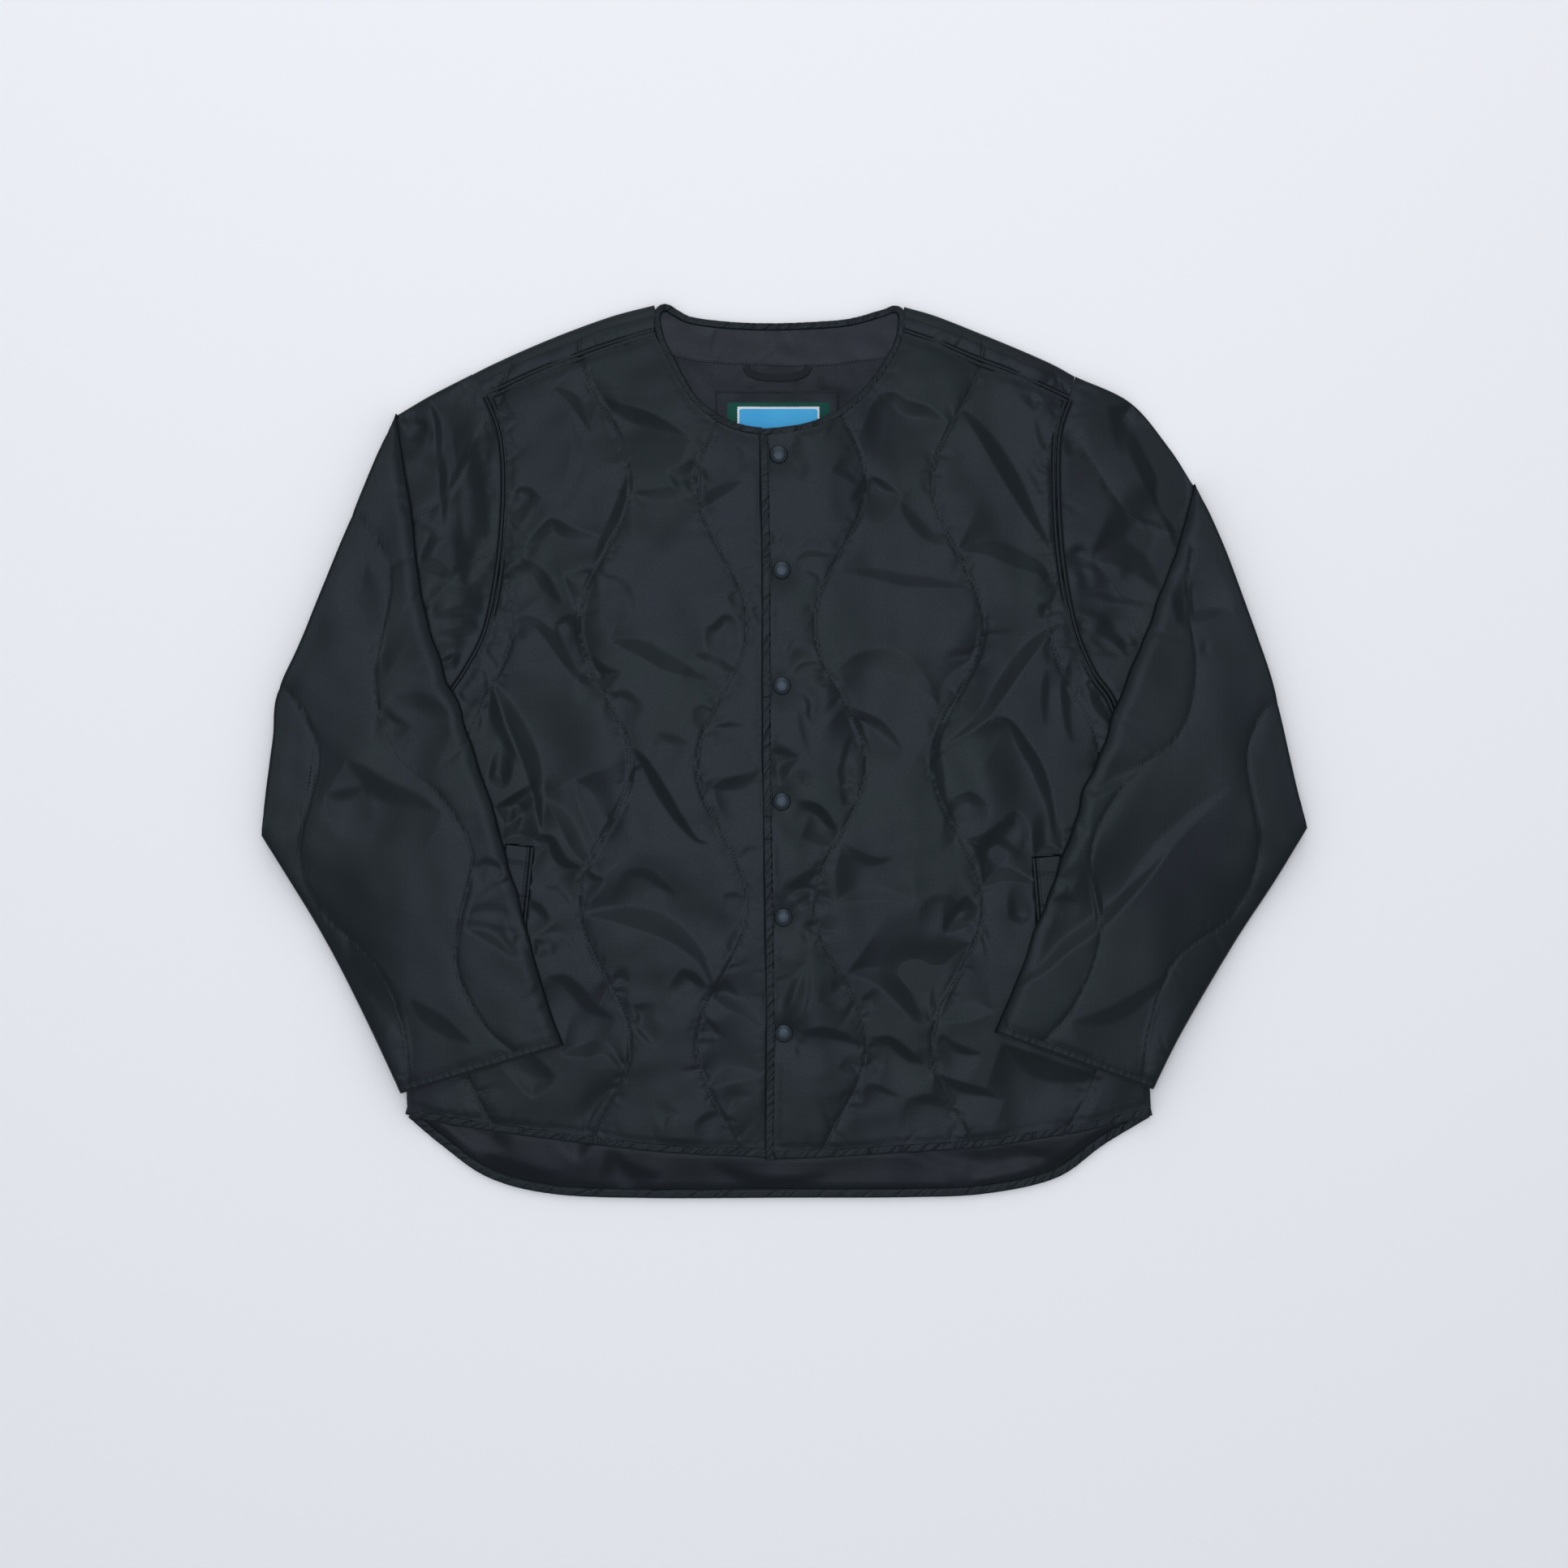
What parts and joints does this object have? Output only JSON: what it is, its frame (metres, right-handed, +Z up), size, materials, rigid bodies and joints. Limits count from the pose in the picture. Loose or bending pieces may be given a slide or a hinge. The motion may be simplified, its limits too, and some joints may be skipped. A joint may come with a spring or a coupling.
{
  "type": "quilted jacket",
  "caption": "Collarless quilted jacket lying flat on its back, sleeves folded forward over the closed front, with bound edges, wavy quilting and a snap closure.",
  "frame": {"origin": "on the surface the jacket lies on, under the middle of its bounding box", "axes": "+X to the wearer's left, +Y from hem to neck, +Z up from the back to the front"},
  "size_m": [0.8564, 0.7347, 0.0245],
  "materials": {
    "shell": "satin woven nylon, charcoal black",
    "facing": "satin woven nylon, charcoal black",
    "lining": "glossy taffeta, very dark navy",
    "binding": "satin bias tape, charcoal black",
    "loop": "woven tape, black",
    "patch": "matt dark cloth patch",
    "label": "bare woven label: green, white and sky blue",
    "snap": "blue-black lacquered metal"
  },
  "bodies": {
    "root": {"back_panel": "shell", "front_left": "shell", "front_right": "shell", "sleeve_left": "shell", "sleeve_right": "shell", "pocket_welt_left": "shell", "pocket_welt_right": "shell", "neck_facing": "facing", "back_lining": "lining", "neck_binding_left": "binding", "neck_binding_right": "binding", "neck_binding_back": "binding", "front_edge_binding": "binding", "hem_binding_left": "binding", "hem_binding_right": "binding", "hem_binding_back": "binding", "cuff_binding_left": "binding", "cuff_binding_right": "binding", "hang_loop": "loop", "label_patch": "patch", "neck_label": "label", "snap_cap_1": "snap", "snap_cap_2": "snap", "snap_cap_3": "snap", "snap_cap_4": "snap", "snap_cap_5": "snap", "snap_cap_6": "snap"}
  },
  "joints": []
}
